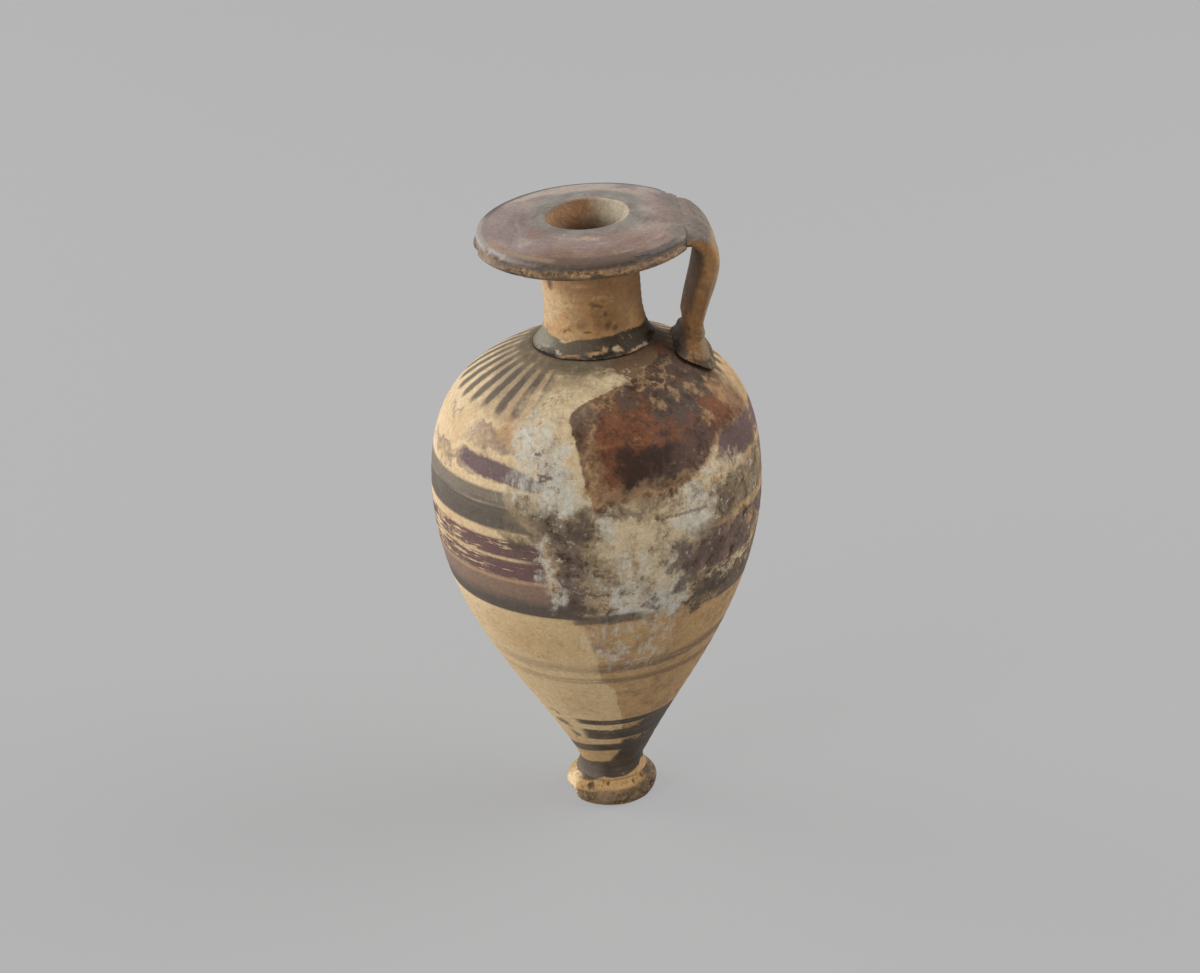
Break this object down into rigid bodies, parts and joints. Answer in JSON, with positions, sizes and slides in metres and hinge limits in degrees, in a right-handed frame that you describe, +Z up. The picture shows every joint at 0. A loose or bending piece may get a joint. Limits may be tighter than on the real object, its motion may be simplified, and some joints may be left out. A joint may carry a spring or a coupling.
{
  "type": "aryballos flask",
  "caption": "Pear-shaped terracotta oil flask on a small turned foot, with a slim neck, a broad flat mouth plate and one strap handle.",
  "frame": {"origin": "middle of the foot's underside, on the surface the flask stands on", "axes": "+Z up along the axis of the pot, +X towards the strap handle"},
  "size_m": [0.0676, 0.0676, 0.13],
  "materials": {
    "painted_body": "matt buff clay with worn dark and purple bands",
    "foot_clay": "matt yellow-buff clay with a dark edge",
    "neck_clay": "matt orange-buff clay",
    "painted_mouth": "worn purple-brown paint, slightly satin",
    "handle_clay": "matt orange-brown clay",
    "dark_luting": "dark rough clay in the joints"
  },
  "bodies": {
    "root": {"foot": "foot_clay", "body": "painted_body", "neck_luting": "dark_luting", "neck": "neck_clay", "mouth_plate": "painted_mouth", "handle_top_luting": "dark_luting", "handle": "handle_clay", "handle_root_pad": "handle_clay"}
  },
  "joints": []
}
